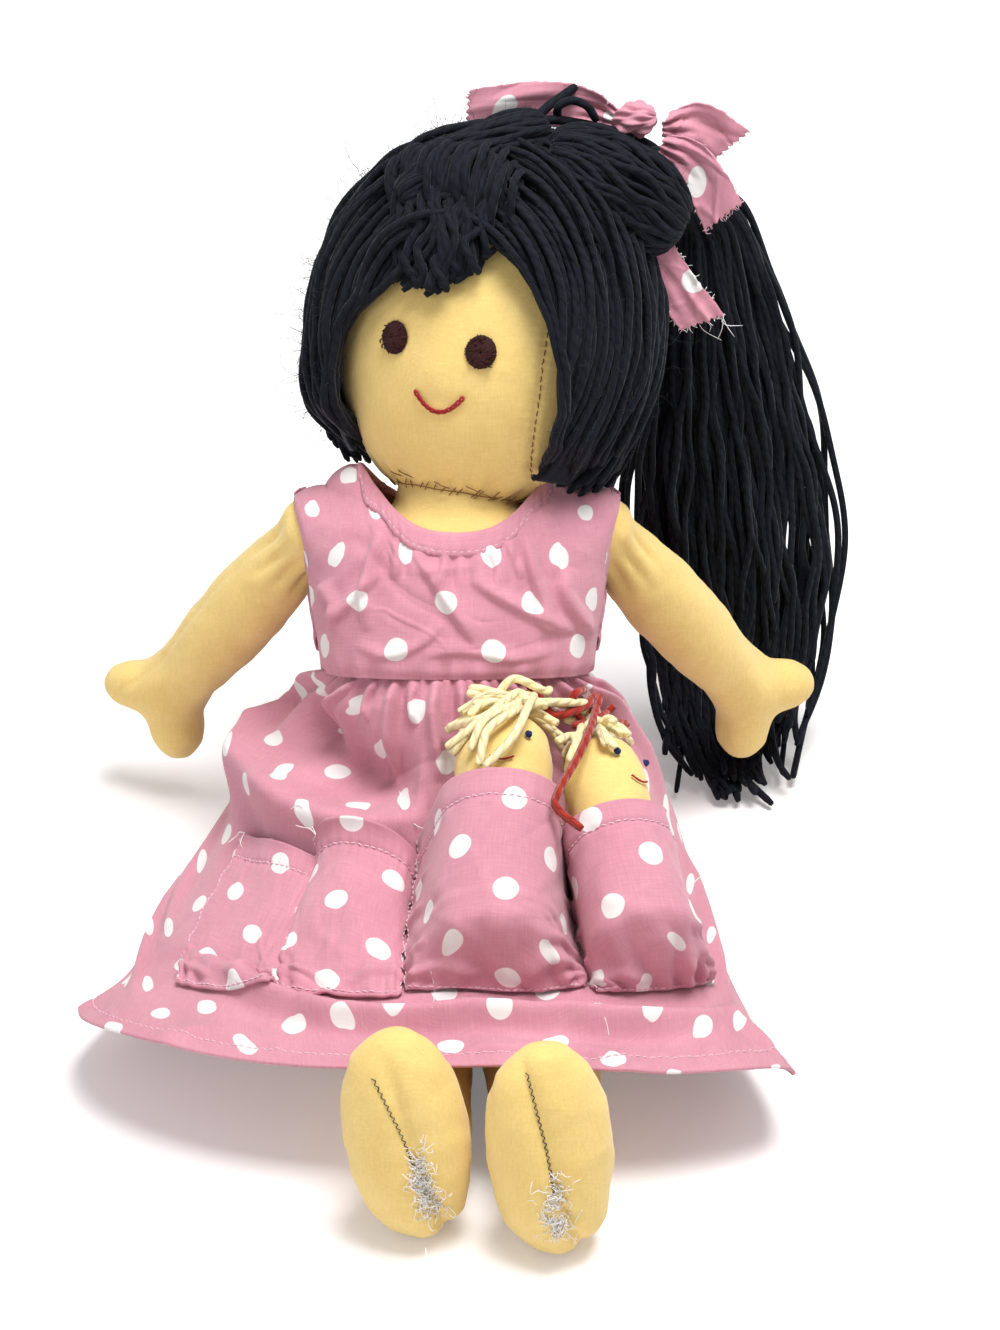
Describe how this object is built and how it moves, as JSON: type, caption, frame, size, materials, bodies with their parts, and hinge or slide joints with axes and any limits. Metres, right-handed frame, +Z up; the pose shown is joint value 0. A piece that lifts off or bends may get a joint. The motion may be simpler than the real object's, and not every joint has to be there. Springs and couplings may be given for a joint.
{
  "type": "rag doll",
  "caption": "Seated stuffed rag doll in a dotted pinafore with lap pockets that hold small dolls, with a yarn wig, a side ponytail and a ribbon.",
  "frame": {"origin": "on the floor, on the flat seat of the skirt, under the hip line", "axes": "+Z up, the doll faces -Y, +X is the doll's own left"},
  "size_m": [0.279, 0.3315, 0.2737],
  "materials": {
    "skin_cotton": "plain cream-yellow cotton over stuffing",
    "dress_cotton": "dusty pink cotton with cream dots",
    "ribbon_cotton": "dusty pink cotton strip with cream dots and frayed ends",
    "dark_yarn": "blue-black knitting yarn",
    "eye_thread": "dark brown embroidered thread",
    "mouth_thread": "dark red embroidered thread",
    "seam_thread": "brown sewing thread",
    "cream_yarn": "cream yarn",
    "red_yarn": "dark red yarn",
    "blue_thread": "dark blue thread knots"
  },
  "bodies": {
    "torso": {"torso": "skin_cotton", "bodice_front": "dress_cotton", "bodice_back": "dress_cotton"},
    "skirt": {"skirt_front": "dress_cotton", "skirt_back": "dress_cotton", "pocket_1": "dress_cotton", "pocket_2": "dress_cotton", "pocket_3": "dress_cotton", "pocket_4": "dress_cotton"},
    "leg_right": {"leg_right": "skin_cotton"},
    "leg_left": {"leg_left": "skin_cotton"},
    "arm_right": {"arm_right": "skin_cotton"},
    "arm_left": {"arm_left": "skin_cotton"},
    "neck": {"neck_seam": "seam_thread"},
    "head": {"head": "skin_cotton", "eye_right": "eye_thread", "eye_left": "eye_thread", "mouth": "mouth_thread", "hair_right": "dark_yarn", "hair_left": "dark_yarn", "hair_back": "dark_yarn", "front_roll": "dark_yarn", "side_puff": "dark_yarn", "fringe": "dark_yarn", "hair_tie": "dark_yarn", "ribbon_knot": "ribbon_cotton", "ribbon_loop_right": "ribbon_cotton", "ribbon_loop_left": "ribbon_cotton", "ribbon_tail_upper": "ribbon_cotton", "ribbon_tail_lower": "ribbon_cotton"},
    "ponytail": {"ponytail": "dark_yarn"},
    "baby_1": {"baby_1": "skin_cotton", "baby_1_eye_right": "blue_thread", "baby_1_eye_left": "blue_thread", "baby_1_mouth": "mouth_thread", "baby_1_hair": "cream_yarn"},
    "baby_2": {"baby_2": "skin_cotton", "baby_2_eye_right": "blue_thread", "baby_2_eye_left": "blue_thread", "baby_2_mouth": "mouth_thread", "baby_2_hair": "red_yarn"}
  },
  "joints": [
    {"name": "hip_fold", "type": "hinge", "parent": "torso", "child": "skirt", "pos_m": [0, 0, 0.0379], "axis": [1, 0, 0], "range_deg": [0, 60], "deforming": ["skirt_front", "skirt_back"]},
    {"name": "leg_right_roll", "type": "hinge", "parent": "skirt", "child": "leg_right", "pos_m": [-0.01513, -0.1, 0.021], "axis": [0.061, -0.9981, 0], "range_deg": [0, 15]},
    {"name": "leg_left_roll", "type": "hinge", "parent": "skirt", "child": "leg_left", "pos_m": [0.02687, -0.1, 0.021], "axis": [-0.061, 0.9981, 0], "range_deg": [0, 15]},
    {"name": "shoulder_right", "type": "hinge", "parent": "torso", "child": "arm_right", "pos_m": [-0.049, 0.04929, 0.13061], "axis": [-1, 0, 0], "range_deg": [0, 75]},
    {"name": "shoulder_left", "type": "hinge", "parent": "torso", "child": "arm_left", "pos_m": [0.049, 0.04929, 0.13061], "axis": [-1, 0, 0], "range_deg": [0, 75]},
    {"name": "neck_nod", "type": "hinge", "parent": "torso", "child": "neck", "pos_m": [0, 0.05446, 0.14032], "axis": [1, 0, 0], "range_deg": [-5, 15], "deforming": ["ponytail"]},
    {"name": "neck_turn", "type": "hinge", "parent": "neck", "child": "head", "pos_m": [0, 0.05446, 0.14032], "axis": [0.1564, 0.4637, 0.8721], "range_deg": [-15, 15], "deforming": ["ponytail"]},
    {"name": "ponytail_swing", "type": "hinge", "parent": "head", "child": "ponytail", "pos_m": [0.07324, 0.11436, 0.23523], "axis": [1, 0, 0], "range_deg": [0, 20]},
    {"name": "baby_1_slide", "type": "slide", "parent": "skirt", "child": "baby_1", "axis": [0, 0.5, 0.866], "range_m": [0, 0.06], "deforming": ["pocket_3"]},
    {"name": "baby_2_slide", "type": "slide", "parent": "skirt", "child": "baby_2", "axis": [0, 0.5, 0.866], "range_m": [0, 0.05], "deforming": ["pocket_4"]}
  ]
}
